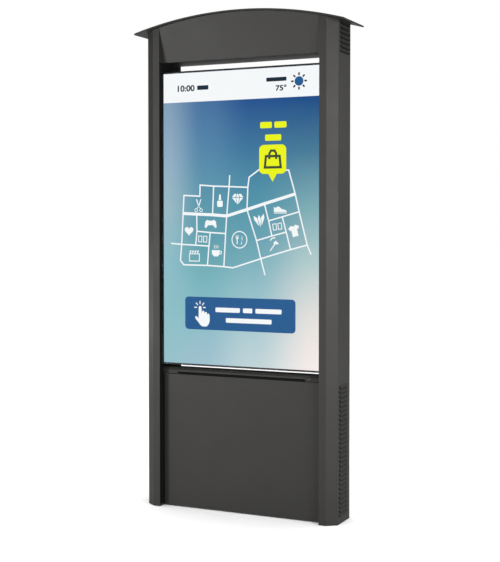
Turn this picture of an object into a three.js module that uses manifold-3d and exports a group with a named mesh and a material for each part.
// A floor-standing touchscreen kiosk: two bevelled sheet-metal pillars, an arched canopy, a portrait
// touch display hung between the pillars and a cabinet with a door on each face below it.
// Millimetres. X runs to the right, Y to the back and Z up. The origin is on the floor, in the middle.

import * as THREE from 'three';
import { mergeVertices } from 'three/addons/utils/BufferGeometryUtils.js';
import Module from 'manifold-3d';

const wasm = await Module();
wasm.setup();

// ---- Driving dimensions ----

// Clearances
const touchGap = 0.3; // between pieces that rest on or are screwed to each other
const displaySideClear = 1.25; // display to pillar, each side
const doorSideClear = 4; // door to pillar, each side
const doorFloorClear = 4;
const doorSillClear = 2.3;

// Screen and display
const screenWidth = 703.5;
const screenHeight = 1209.6;
const borderSide = 7; // black margin beside the lit area
const borderEnd = borderSide; // and above and below it
const screenRecess = 19; // glass behind the pillars' front
const glassThick = 4;
const frameDeep = 11.7;
const lcdThick = 14;
const housingWall = 2;
const coverThick = 2;
const coverRecess = 16.7; // rear cover in front of the pillars' back
const railWide = 40;
const railDeep = 20;
const railWall = 2;
const railSpacing = 400;
const driverHigh = 240;
const driverDeep = 42;

// Pillars
const pillarFlat = 30; // front flat beside the screen
const bevelAcross = 40.4;
const bevelDeep = 29.5;
const pillarDepth = 190;
const sheet = 2.5;
const footThick = 8;
const anchorRadius = 7;
const anchorSpacing = 90;

// Cabinet
const doorHeight = 556;
const doorRecess = 33.5; // front door behind the pillars' front
const rearDoorRecess = 8;
const rearDoorDrop = 20; // the rear door is this much shorter
const doorDeep = 20;
const doorSheet = 2;
const stiffenerWide = 60;
const stiffenerDeep = 14;
const stiffenerStop = 25;
const lipWide = 16; // door's inward lip, which carries the seal
const jambWide = 22;
const jambThick = 2.5;
const sealWide = 8;
const sealThick = 3;
const pivotInset = 7.5; // pivot from the door's hinge edge and from its face
const pivotRadius = 3;
const pivotClear = 0.6;
const pivotEngage = 9;
const pivotPlate = 3;
const sillHeight = 25.7;
const sillFace = 15.7; // upright part of the sill's front
const sillSlopeDeep = 6.5;
const sillDeep = 43.5;
const topThick = 3;
const baseThick = 8;

// Lock in the sill
const lockInset = 53; // lock from the pillar
const lockRise = 9.7; // lock above the sill's lower edge
const lockBarrelRadius = 5.5;
const lockPlugRadius = 4;
const lockPlugClear = 0.3;
const lockFlange = 1.6;
const lockLip = 1.5; // flange past the barrel
const keywayWide = 0.9;
const keywayHigh = 5.2;
const keywayDeep = 3;
const lockDeep = 9;
const camWide = 8;
const camThick = 3;
const camBite = 6; // cam below the door's upper flange
const camClear = 1.5;
const sillPlateLong = 56;
const sillPlateThick = 1.5;
const sillPlateInset = 15;

// Header and canopy
const lowerGap = 14; // open gap between sill and display
const upperGap = 40.4; // open gap between display and header
const headerSide = 144.8; // header's height at the pillars
const headerLean = 27; // fascia's foot behind the pillars' front
const fasciaThick = 3;
const soffitThick = 2.5;
const beamSize = 40;
const beamWall = 3;
const beamDrop = 12;
const canopyRadius = 1720;
const canopyThick = 6;
const canopySide = 38.6;
const canopyFront = 20;
const canopyFacets = 64;

// Vents
const louvrePitch = 18.3;
const louvreHigh = 9.5;
const louvreOut = 5;
const louvreSkin = 1.2;
const lowerVentWide = 84;
const lowerVentShift = -5; // towards the front
const upperVentWide = 98;
const upperVentShift = 5;
const upperVentRise = 2; // upper vent above the header's foot
const ventMargin = 1.5;
const ventEnd = 5;
const flangeWide = 3;
const flangeThick = 1.5;
const lowerVentStart = 28;
const filterThick = 10;

// Fans
const fanSize = 92;
const fanDeep = 25;
const fanRim = 3; // frame outside the bore, at the middle of each side
const rotorClear = 1.5;
const rotorDeep = 17;
const rotorHub = 19;
const fanBladeCount = 7;
const bladeChord = 17;
const bladeThick = 1.8;
const bladePitch = 35; // degrees
const strutWide = 5;
const strutThick = 3;
const fanCorner = 5;

// Equipment in the cabinet
const plateSheet = 2;
const plateFootClear = 11.4; // mounting plate's foot to the rear seal
const equipmentClear = 9.6; // front seal to the deepest piece of equipment
const playerSize = [200, 46, 190]; // width, depth and height
const supplySize = [120, 48, 230];
const switchSize = [180, 34, 110];
const equipmentApart = 40;
const equipmentFoot = 150; // above the floor
const plateSideClear = 30;
const plateTopClear = 40;
const grooveDeep = 4;
const grooveShare = 0.44; // of the grooves' pitch
const grooveStop = 8; // groove's end from the box's edge
const glandRadius = 20;
const glandWall = 6;
const glandLip = 6;
const glandHigh = 12;

// ---- Sizes that follow ----

const half = (size) => size / 2;
const glassWidth = screenWidth + 2 * borderSide;
const glassHeight = screenHeight + 2 * borderEnd;
const innerX = half(glassWidth) + displaySideClear; // pillars' inner walls
const flatX = innerX + pillarFlat;
const outerX = flatX + bevelAcross;
const frontY = -half(pillarDepth);
const sideFrontY = frontY + bevelDeep;

const doorTop = doorFloorClear + doorHeight;
const sillBottom = doorTop + doorSillClear;
const sillTop = sillBottom + sillHeight;
const glassBottom = sillTop + lowerGap;
const glassTop = glassBottom + glassHeight;
const headerBottom = glassTop + upperGap;
const undersideRadius = canopyRadius - canopyThick;
const archCentre = headerBottom + headerSide - Math.sqrt(undersideRadius ** 2 - innerX ** 2);
const canopyHalf = outerX + canopySide;
const undersideZ = (x) => archCentre + Math.sqrt((undersideRadius - touchGap) ** 2 - x ** 2);

const glassY = frontY + screenRecess;
const frameY = glassY + glassThick + touchGap;
const housingY = frameY + frameDeep + touchGap;
const lcdY = frameY + touchGap;
const railY = lcdY + lcdThick + touchGap;
const coverY = -frontY - coverRecess - coverThick;

const inwardX = outerX - sheet; // outer wall's inner face
const ventBackX = inwardX - touchGap - flangeThick;

const doorHalf = innerX - doorSideClear;
const doorBackFront = frontY + doorRecess + doorDeep;
const doorBackRear = -frontY - rearDoorRecess - doorDeep;
const baseFront = doorBackFront + sealThick + 2 * touchGap;
const baseRear = doorBackRear - sealThick - 2 * touchGap;
const deepest = Math.max(playerSize[1], supplySize[1], switchSize[1]);
const plateFront = baseFront + equipmentClear + deepest + touchGap;

// ---- Solids ----

const solid = (geometry) => {
  const bare = geometry.clone();
  bare.deleteAttribute('normal');
  bare.deleteAttribute('uv');
  const merged = mergeVertices(bare, 1e-4);
  return new wasm.Manifold(new wasm.Mesh({
    numProp: 3,
    vertProperties: new Float32Array(merged.attributes.position.array),
    triVerts: new Uint32Array(merged.index.array),
  }));
};

const toGeometry = (body) => {
  const mesh = body.getMesh();
  const geometry = new THREE.BufferGeometry();
  geometry.setAttribute('position', new THREE.BufferAttribute(new Float32Array(mesh.vertProperties), 3));
  geometry.setIndex(new THREE.BufferAttribute(new Uint32Array(mesh.triVerts), 1));
  geometry.computeVertexNormals();
  return geometry;
};

// A box between two corners.
const box = (x0, x1, y0, y1, z0, z1) => {
  const geometry = new THREE.BoxGeometry(Math.abs(x1 - x0), Math.abs(y1 - y0), Math.abs(z1 - z0));
  geometry.translate(half(x0 + x1), half(y0 + y1), half(z0 + z1));
  return solid(geometry);
};

// Axes of an outline's plane and of its extrusion, for an outline drawn square to X, Y or Z.
const planes = {
  x: [new THREE.Vector3(0, 1, 0), new THREE.Vector3(0, 0, 1), new THREE.Vector3(1, 0, 0)],
  y: [new THREE.Vector3(1, 0, 0), new THREE.Vector3(0, 0, 1), new THREE.Vector3(0, -1, 0)],
  z: [new THREE.Vector3(1, 0, 0), new THREE.Vector3(0, 1, 0), new THREE.Vector3(0, 0, 1)],
};

// An outline, square to one axis, drawn out along that axis from one value to another.
const prism = (axis, from, to, outline) => {
  const shape = new THREE.Shape(outline.map(([u, v]) => new THREE.Vector2(u, v)));
  const geometry = new THREE.ExtrudeGeometry(shape, { depth: to - from, bevelEnabled: false });
  geometry.applyMatrix4(new THREE.Matrix4().makeBasis(...planes[axis]));
  const start = new THREE.Vector3();
  start[axis] = axis === 'y' ? to : from;
  geometry.translate(start.x, start.y, start.z);
  return solid(geometry);
};

const circle = (u, v, radius, sides = 32) => Array.from({ length: sides }, (_, i) => {
  const angle = (i / sides) * 2 * Math.PI;
  return [u + radius * Math.cos(angle), v + radius * Math.sin(angle)];
});

const rectangle = (u0, u1, v0, v1) => [[u0, v0], [u1, v0], [u1, v1], [u0, v1]];

const joined = (first, ...others) => others.reduce((sum, body) => sum.add(body), first);
const cut = (first, ...others) => others.reduce((sum, body) => sum.subtract(body), first);

// A convex outline, drawn anticlockwise, with every side moved in by one distance.
const inset = (outline, distance) => outline.map((corner, i) => {
  const before = outline[(i + outline.length - 1) % outline.length];
  const after = outline[(i + 1) % outline.length];
  const side = (from, to) => {
    const long = Math.hypot(to[0] - from[0], to[1] - from[1]);
    const along = [(to[0] - from[0]) / long, (to[1] - from[1]) / long];
    return { at: [from[0] - along[1] * distance, from[1] + along[0] * distance], along };
  };
  const one = side(before, corner);
  const two = side(corner, after);
  const cross = one.along[0] * two.along[1] - one.along[1] * two.along[0];
  const gapU = two.at[0] - one.at[0];
  const gapV = two.at[1] - one.at[1];
  const reach = (gapU * two.along[1] - gapV * two.along[0]) / cross;
  return [one.at[0] + one.along[0] * reach, one.at[1] + one.along[1] * reach];
});

// ---- Finishes ----

const paint = { color: 0x504e4a, roughness: 0.55, metalness: 0.3 };
const darkPaint = { color: 0x2e2d2b, roughness: 0.6, metalness: 0.3 };
const blackRubber = { color: 0x141414, roughness: 0.85, metalness: 0 };
const blackPlastic = { color: 0x1b1b1c, roughness: 0.5, metalness: 0 };
const clearGlass = { color: 0xdfe8ec, roughness: 0.05, metalness: 0 };
const litScreen = { color: 0x9fc4cf, roughness: 0.3, metalness: 0 };
const zincSteel = { color: 0xb4b6b8, roughness: 0.4, metalness: 0.9 };
const lockMetal = { color: 0xc8c9cb, roughness: 0.25, metalness: 1 };
const castAluminium = { color: 0x8f9194, roughness: 0.5, metalness: 0.9 };
const filterFoam = { color: 0x3a3c40, roughness: 0.95, metalness: 0 };

const kiosk = new THREE.Group();

const place = (name, body, finish, group = kiosk) => {
  const mesh = new THREE.Mesh(toGeometry(body), new THREE.MeshStandardMaterial(finish));
  mesh.name = name;
  group.add(mesh);
  return mesh;
};

// ---- Canopy ----

const arc = (radius, reach) => Array.from({ length: canopyFacets + 1 }, (_, i) => {
  const angle = Math.asin(reach / radius) * (1 - (2 * i) / canopyFacets);
  return [radius * Math.sin(angle), archCentre + radius * Math.cos(angle)];
});

// The space under the canopy, which trims whatever reaches up to it.
const floorBelow = -1;
const underCanopy = prism('y', frontY - canopyFront, -frontY + canopyFront, [
  [-canopyHalf, floorBelow],
  [canopyHalf, floorBelow],
  ...arc(undersideRadius - touchGap, canopyHalf),
]);

const canopyShape = [...arc(canopyRadius, canopyHalf), ...arc(undersideRadius, canopyHalf).reverse()];
place('canopy', prism('y', frontY - canopyFront, -frontY + canopyFront, canopyShape), paint);

// ---- Vents ----

const upperVentStart = headerBottom + upperVentRise;
const upperVentLimit = undersideZ(outerX) - flangeWide - touchGap;
const lowerVentLimit = doorTop;

// How many louvres fit between two heights, and the window that they fill.
const ventWindow = (start, limit, wide, shift) => {
  const count = Math.floor((limit - start - 2 * ventMargin - louvreHigh) / louvrePitch + 1e-6) + 1;
  const high = (count - 1) * louvrePitch + louvreHigh + 2 * ventMargin;
  return {
    count, start, top: start + high, y0: shift - half(wide) - ventEnd, y1: shift + half(wide) + ventEnd,
  };
};
const upperVent = ventWindow(upperVentStart, upperVentLimit, upperVentWide, upperVentShift);
const lowerVent = ventWindow(lowerVentStart, lowerVentLimit, lowerVentWide, lowerVentShift);

// One pressed louvre: a hood open at its lower edge, with closed ends.
const louvre = (side, y0, y1, foot, grow) => {
  const skin = louvreSkin * grow;
  const back = grow ? -2 * sheet - flangeThick : -half(sheet);
  const outline = [
    [back, foot - grow],
    [louvreOut - skin, foot - grow],
    [louvreOut - skin, foot],
    [-0.2 * grow, foot + louvreHigh - 1.5 * skin],
    [back, foot + louvreHigh - 1.5 * skin],
  ].map(([out, z]) => [side * (outerX + out), z]);
  return prism('y', y0 + skin, y1 - skin, outline);
};

const ventPanel = (side, vent) => {
  const { count, start, top, y0, y1 } = vent;
  const panel = joined(
    box(side * inwardX, side * outerX, y0 + touchGap, y1 - touchGap, start + touchGap, top - touchGap),
    box(
      side * ventBackX,
      side * (inwardX - touchGap),
      y0 - flangeWide,
      y1 + flangeWide,
      start - flangeWide,
      top + flangeWide,
    ),
    box(
      side * (inwardX - half(flangeThick)),
      side * (inwardX + half(sheet)),
      y0 + touchGap,
      y1 - touchGap,
      start + touchGap,
      top - touchGap,
    ),
  );
  const feet = Array.from({ length: count }, (_, i) => start + ventMargin + i * louvrePitch);
  const hoods = feet.map((foot) => louvre(side, y0 + ventEnd, y1 - ventEnd, foot, 0));
  const hollows = feet.map((foot) => louvre(side, y0 + ventEnd, y1 - ventEnd, foot, 1));
  return cut(joined(panel, ...hoods), ...hollows);
};

const ventHole = (side, { start, top, y0, y1 }) => box(
  side * (inwardX - sheet),
  side * (outerX + sheet),
  y0,
  y1,
  start,
  top,
);

// ---- Pillars ----

const pillarOutline = [
  [innerX, frontY],
  [flatX, frontY],
  [outerX, sideFrontY],
  [outerX, -sideFrontY],
  [flatX, -frontY],
  [innerX, -frontY],
];
const mirrored = (outline, side) => outline.map(([u, v]) => [side * u, v]);
const pillarTop = archCentre + canopyRadius;

const sides = [['left', -1], ['right', 1]];
for (const [where, side] of sides) {
  const outside = prism('z', 0, pillarTop, mirrored(pillarOutline, side));
  const inside = prism('z', floorBelow, pillarTop + 1, mirrored(inset(pillarOutline, sheet), side));
  const shell = cut(outside, inside, ventHole(side, upperVent), ventHole(side, lowerVent));
  place(`pillar_${where}`, shell.intersect(underCanopy), paint);

  place(`vent_upper_${where}`, ventPanel(side, upperVent), paint);
  place(`vent_lower_${where}`, ventPanel(side, lowerVent), paint);

  const footOutline = mirrored(inset(pillarOutline, sheet + touchGap), side);
  const middle = half(innerX + outerX) * side;
  const anchors = [-half(anchorSpacing), half(anchorSpacing)].map(
    (y) => prism('z', floorBelow, footThick + 1, circle(middle, y, anchorRadius)),
  );
  place(`foot_plate_${where}`, cut(prism('z', 0, footThick, footOutline), ...anchors), zincSteel);

  const filterFront = ventBackX - touchGap;
  const filter = box(
    side * (filterFront - filterThick),
    side * filterFront,
    lowerVent.y0,
    lowerVent.y1,
    lowerVent.start,
    lowerVent.top,
  );
  place(`filter_${where}`, filter, filterFoam);
}

// ---- Exhaust fans, one behind each upper vent ----

const fanHeight = half(upperVent.start + upperVent.top);
const fanBore = half(fanSize) - fanRim;
const rotorRadius = fanBore - rotorClear;
const rotorBack = strutThick + touchGap;

const fanFrame = () => {
  const edge = half(fanSize);
  const corner = edge - fanCorner;
  const outline = [
    [corner, -edge], [edge, -corner], [edge, corner], [corner, edge],
    [-corner, edge], [-edge, corner], [-edge, -corner], [-corner, -edge],
  ];
  const bore = prism('z', -1, fanDeep + 1, circle(0, 0, fanBore, 48));
  const reach = fanBore + 1;
  return joined(
    cut(prism('z', 0, fanDeep, outline), bore),
    prism('z', 0, strutThick, circle(0, 0, rotorHub)),
    box(-reach, reach, -half(strutWide), half(strutWide), 0, strutThick),
    box(-half(strutWide), half(strutWide), -reach, reach, 0, strutThick),
  );
};

const fanRotor = () => {
  const blades = Array.from({ length: fanBladeCount }, (_, i) => {
    const long = rotorRadius - rotorHub + 3;
    const blade = new THREE.BoxGeometry(long, bladeChord, bladeThick);
    blade.rotateX(THREE.MathUtils.degToRad(bladePitch));
    blade.translate(rotorRadius - half(long), 0, rotorBack + half(rotorDeep));
    blade.rotateZ((i / fanBladeCount) * 2 * Math.PI);
    return solid(blade);
  });
  return joined(prism('z', rotorBack, rotorBack + rotorDeep, circle(0, 0, rotorHub)), ...blades);
};

for (const [where, side] of sides) {
  const fan = new THREE.Group();
  fan.position.set(side * (ventBackX - touchGap - fanDeep), upperVentShift, fanHeight);
  fan.rotation.y = side * half(Math.PI);
  place(`fan_frame_${where}`, fanFrame(), blackPlastic, fan);
  place(`fan_rotor_${where}`, fanRotor(), blackPlastic, fan);
  kiosk.add(fan);
}

// ---- Header between the pillars ----

const headerHalf = innerX - touchGap;
const headerHigh = archCentre + canopyRadius - headerBottom;
const leanPerMm = headerLean / headerSide;
const fasciaFoot = frontY + headerLean;

for (const [where, face] of [['front', 1], ['rear', -1]]) {
  const rise = leanPerMm * headerHigh;
  const outline = [
    [fasciaFoot, headerBottom],
    [fasciaFoot + fasciaThick, headerBottom],
    [fasciaFoot + fasciaThick - rise, headerBottom + headerHigh],
    [fasciaFoot - rise, headerBottom + headerHigh],
  ].map(([y, z]) => [face * y, z]);
  const fascia = prism('x', -headerHalf, headerHalf, outline).intersect(underCanopy);
  place(`header_fascia_${where}`, fascia, paint);
}

const soffitY = Math.abs(fasciaFoot) - fasciaThick - touchGap;
place(
  'header_soffit',
  box(-headerHalf, headerHalf, -soffitY, soffitY, headerBottom, headerBottom + soffitThick),
  paint,
);

const beamTop = headerBottom + headerSide - beamDrop;
const beamOutline = rectangle(-half(beamSize), half(beamSize), beamTop - beamSize, beamTop);
const beam = cut(
  prism('x', -headerHalf, headerHalf, beamOutline),
  prism('x', -innerX - 1, innerX + 1, inset(beamOutline, beamWall)),
);
place('header_beam', beam, zincSteel);

// ---- Display ----

const frameHole = 2 * touchGap; // the LCD's play in its frame
const glassX = half(glassWidth);
place('touch_glass', box(-glassX, glassX, glassY, glassY + glassThick, glassBottom, glassTop), clearGlass);

const lcdX = half(screenWidth);
const lcdBottom = glassBottom + borderEnd;
const lcdTop = lcdBottom + screenHeight;
const ring = (y0, y1, outerHalf, bottom, top, thickSide, thickEnd) => cut(
  box(-outerHalf, outerHalf, y0, y1, bottom, top),
  box(-outerHalf + thickSide, outerHalf - thickSide, y0 - 1, y1 + 1, bottom + thickEnd, top - thickEnd),
);
const displayFrame = ring(
  frameY,
  frameY + frameDeep,
  glassX,
  glassBottom,
  glassTop,
  borderSide - frameHole,
  borderEnd - frameHole,
);
place('display_frame', displayFrame, blackPlastic);
place('lcd_panel', box(-lcdX, lcdX, lcdY, lcdY + lcdThick, lcdBottom, lcdTop), litScreen);

const housingEnd = coverY - touchGap;
const housing = ring(housingY, housingEnd, glassX, glassBottom, glassTop, housingWall, housingWall);
place('display_housing', housing, darkPaint);

const cover = box(-glassX, glassX, coverY, coverY + coverThick, glassBottom, glassTop);
place('rear_cover', cover, paint);

const railBottom = glassBottom + housingWall + touchGap;
const railTop = glassTop - housingWall - touchGap;
const railBack = railY + railDeep;
for (const [where, side] of sides) {
  const middle = side * half(railSpacing);
  const outer = box(middle - half(railWide), middle + half(railWide), railY, railBack, railBottom, railTop);
  const hollow = box(
    middle - half(railWide) + railWall,
    middle + half(railWide) - railWall,
    railY - 1,
    railBack - railWall,
    railBottom - 1,
    railTop + 1,
  );
  place(`display_rail_${where}`, cut(outer, hollow), zincSteel);
}

// A box of electronics with cooling grooves across its front.
const finnedBox = ([x0, x1], [y0, y1], [z0, z1], grooves, deep) => {
  const pitch = (z1 - z0) / (grooves + 1);
  const cuts = Array.from({ length: grooves }, (_, i) => {
    const foot = z0 + (i + 1) * pitch - half(grooveShare * pitch);
    return box(x0 + grooveStop, x1 - grooveStop, y0 - 1, y0 + deep, foot, foot + grooveShare * pitch);
  });
  return cut(box(x0, x1, y0, y1, z0, z1), ...cuts);
};

const driverMiddle = half(glassBottom + glassTop);
const driverX = half(railSpacing + railWide);
const driverFront = railBack + touchGap;
const driver = finnedBox(
  [-driverX, driverX],
  [driverFront, driverFront + driverDeep],
  [driverMiddle - half(driverHigh), driverMiddle + half(driverHigh)],
  0,
  grooveDeep,
);
place('display_driver', driver, darkPaint);

// ---- Cabinet: floor, top and the two faces ----

const cabinetHalf = innerX - touchGap;
const glandY = half(baseFront + plateFront);

const base = cut(
  box(-cabinetHalf, cabinetHalf, baseFront, baseRear, 0, baseThick),
  prism('z', floorBelow, baseThick + 1, circle(0, glandY, glandRadius + touchGap)),
);
place('base_plate', base, zincSteel);

const glandTop = baseThick + touchGap + glandHigh;
const gland = cut(
  joined(
    prism('z', 0, glandTop, circle(0, glandY, glandRadius)),
    prism('z', baseThick + touchGap, glandTop - half(glandHigh), circle(0, glandY, glandRadius + glandLip)),
  ),
  prism('z', floorBelow, glandTop + 1, circle(0, glandY, glandRadius - glandWall)),
);
place('cable_gland', gland, blackPlastic);

const rearSillBack = -frontY - rearDoorRecess - sillDeep;
const cabinetTop = box(
  -cabinetHalf,
  cabinetHalf,
  baseFront,
  rearSillBack - touchGap,
  sillBottom - touchGap - topThick,
  sillBottom - touchGap,
);
place('cabinet_top', cabinetTop, darkPaint);

// One face of the cabinet, drawn as the front one: door, pivots, sill rail and lock.
const cabinetFace = (where, recess, top) => {
  const face = new THREE.Group();
  const faceY = frontY + recess;
  const backY = faceY + doorDeep;
  const sillZ = top + doorSillClear;
  const pivotX = -doorHalf + pivotInset;
  const pivotY = faceY + pivotInset;
  const lockX = innerX - lockInset;
  const lockZ = sillZ + lockRise;
  const camLong = lockRise + doorSillClear + doorSheet + camBite;
  const camY = faceY + lockDeep + touchGap;

  // Door: a folded pan with an inward lip, a slot for the cam and a hole at each end of its pivot line
  const camReach = Math.hypot(camLong, half(camWide)) + camClear;
  const pivotHole = circle(pivotX, pivotY, pivotRadius + pivotClear, 24);
  const pan = cut(
    box(-doorHalf, doorHalf, faceY, backY, doorFloorClear, top),
    box(
      -doorHalf + doorSheet,
      doorHalf - doorSheet,
      faceY + doorSheet,
      backY - doorSheet,
      doorFloorClear + doorSheet,
      top - doorSheet,
    ),
    box(
      -doorHalf + lipWide,
      doorHalf - lipWide,
      backY - 2 * doorSheet,
      backY + 1,
      doorFloorClear + lipWide,
      top - lipWide,
    ),
    prism('z', floorBelow, top + 1, pivotHole),
    box(
      lockX - camReach,
      lockX + half(camWide) + camClear,
      camY - camClear,
      camY + camThick + camClear,
      top - 2 * doorSheet,
      top + 1,
    ),
  );
  place(`door_${where}`, pan, paint, face);

  const innerFace = faceY + doorSheet + touchGap;
  const stiffener = cut(
    box(
      -half(stiffenerWide),
      half(stiffenerWide),
      innerFace,
      innerFace + stiffenerDeep,
      doorFloorClear + stiffenerStop,
      top - stiffenerStop,
    ),
    box(
      -half(stiffenerWide) + doorSheet,
      half(stiffenerWide) - doorSheet,
      innerFace - 1,
      innerFace + stiffenerDeep - doorSheet,
      0,
      top,
    ),
  );
  place(`door_stiffener_${where}`, stiffener, darkPaint, face);

  const sealBack = backY + touchGap + sealThick;
  const seal = ring(
    backY + touchGap,
    sealBack,
    doorHalf - pivotInset,
    doorFloorClear + pivotInset,
    top - pivotInset,
    sealWide,
    sealWide,
  );
  place(`door_seal_${where}`, seal, blackRubber, face);

  // Jamb: a flat frame that the seal closes on
  const jambY = sealBack + touchGap;
  const jambTop = sillZ - topThick - 2 * touchGap;
  const jambFoot = baseThick + touchGap;
  const jamb = ring(jambY, jambY + jambThick, cabinetHalf, jambFoot, jambTop, jambWide, jambWide);
  place(`door_jamb_${where}`, jamb, darkPaint, face);

  // Pivots: a plate on the floor with an upright pin, and a pin under the sill
  const lowerPivot = joined(
    box(-innerX + touchGap, pivotX + 3 * pivotRadius, faceY, backY, 0, pivotPlate),
    prism('z', half(pivotPlate), doorFloorClear + pivotEngage, circle(pivotX, pivotY, pivotRadius, 24)),
  );
  place(`door_pivot_lower_${where}`, lowerPivot, zincSteel, face);
  const upperPivot = joined(
    box(
      -innerX + touchGap,
      pivotX + 3 * pivotRadius,
      faceY + sheet + touchGap,
      backY,
      sillZ + touchGap,
      sillZ + pivotPlate,
    ),
    prism('z', top - pivotEngage, sillZ + half(pivotPlate), circle(pivotX, pivotY, pivotRadius, 24)),
  );
  place(`door_pivot_upper_${where}`, upperPivot, zincSteel, face);

  // Sill: a folded rail over the door, sloped along its front edge
  const sillOutline = [
    [faceY, sillZ],
    [faceY + sheet, sillZ],
    [faceY + sheet, sillZ + sillFace - 1],
    [faceY + sillSlopeDeep + 1, sillZ + sillHeight - sheet],
    [faceY + sillDeep - sheet, sillZ + sillHeight - sheet],
    [faceY + sillDeep - sheet, sillZ],
    [faceY + sillDeep, sillZ],
    [faceY + sillDeep, sillZ + sillHeight],
    [faceY + sillSlopeDeep, sillZ + sillHeight],
    [faceY, sillZ + sillFace],
  ];
  const lockHole = circle(lockX, lockZ, lockBarrelRadius + touchGap);
  const sill = cut(
    prism('x', -cabinetHalf, cabinetHalf, sillOutline),
    prism('y', faceY - 1, faceY + sheet + 1, lockHole),
  );
  place(`sill_${where}`, sill, paint, face);

  // Plates screwed to the sill's ends, the right one carrying the lock
  const plateEnd = innerX - sillPlateInset;
  for (const [end, side] of sides) {
    const plate = box(
      side * (plateEnd - sillPlateLong),
      side * plateEnd,
      faceY - touchGap - sillPlateThick,
      faceY - touchGap,
      sillZ,
      sillZ + sillFace,
    );
    const hole = prism('y', faceY - sheet - 1, faceY + 1, lockHole);
    place(`sill_plate_${where}_${end}`, side > 0 ? cut(plate, hole) : plate, darkPaint, face);
  }

  // Cam lock: a flanged barrel that stays, and a plug that turns with the cam
  const platesY = faceY - touchGap - sillPlateThick;
  const barrel = cut(
    joined(
      prism('y', platesY - half(lockFlange), faceY + lockDeep, circle(lockX, lockZ, lockBarrelRadius)),
      prism(
        'y',
        platesY - touchGap - lockFlange,
        platesY - touchGap,
        circle(lockX, lockZ, lockBarrelRadius + lockLip),
      ),
    ),
    prism(
      'y',
      platesY - 3 * lockFlange,
      faceY + lockDeep + 1,
      circle(lockX, lockZ, lockPlugRadius + lockPlugClear),
    ),
  );
  place(`lock_barrel_${where}`, barrel, lockMetal, face);
  const plugFront = platesY - touchGap - lockFlange;
  const keyway = box(
    lockX - half(keywayWide),
    lockX + half(keywayWide),
    plugFront - 1,
    plugFront + keywayDeep,
    lockZ - half(keywayHigh),
    lockZ + half(keywayHigh),
  );
  const plug = cut(
    joined(
      prism('y', plugFront, camY + camThick, circle(lockX, lockZ, lockPlugRadius)),
      box(
        lockX - camLong,
        lockX + half(camWide),
        camY,
        camY + camThick,
        lockZ - half(camWide),
        lockZ + half(camWide),
      ),
    ),
    keyway,
  );
  place(`lock_plug_${where}`, plug, lockMetal, face);
  return face;
};

kiosk.add(cabinetFace('front', doorRecess, doorTop));
const rearFace = cabinetFace('rear', rearDoorRecess, doorTop - rearDoorDrop);
rearFace.rotation.z = Math.PI;
kiosk.add(rearFace);

// ---- Equipment ----

const plateX = innerX - plateSideClear;
const plateTop = sillBottom - plateTopClear;
const plateBottom = baseThick + touchGap;
const plateBack = plateFront + plateSheet;
const footEnd = baseRear - plateFootClear;
const mountingPlate = prism('x', -plateX, plateX, [
  [plateFront, plateBottom],
  [footEnd, plateBottom],
  [footEnd, plateBottom + plateSheet],
  [plateBack, plateBottom + plateSheet],
  [plateBack, plateTop],
  [plateFront, plateTop],
]);
place('mounting_plate', mountingPlate, zincSteel);

// Three boxes of electronics stand in a row on the mounting plate's front.
const equipmentBack = plateFront - touchGap;
const rowWide = playerSize[0] + supplySize[0] + switchSize[0] + 2 * equipmentApart;
const equipment = [
  ['media_player', playerSize, 9, castAluminium],
  ['power_supply', supplySize, 11, zincSteel],
  ['network_switch', switchSize, 4, blackPlastic],
];
let equipmentX = -half(rowWide);
for (const [name, [wide, deep, high], grooves, finish] of equipment) {
  const body = finnedBox(
    [equipmentX, equipmentX + wide],
    [equipmentBack - deep, equipmentBack],
    [equipmentFoot, equipmentFoot + high],
    grooves,
    grooveDeep,
  );
  place(name, body, finish);
  equipmentX += wide + equipmentApart;
}

export default kiosk;
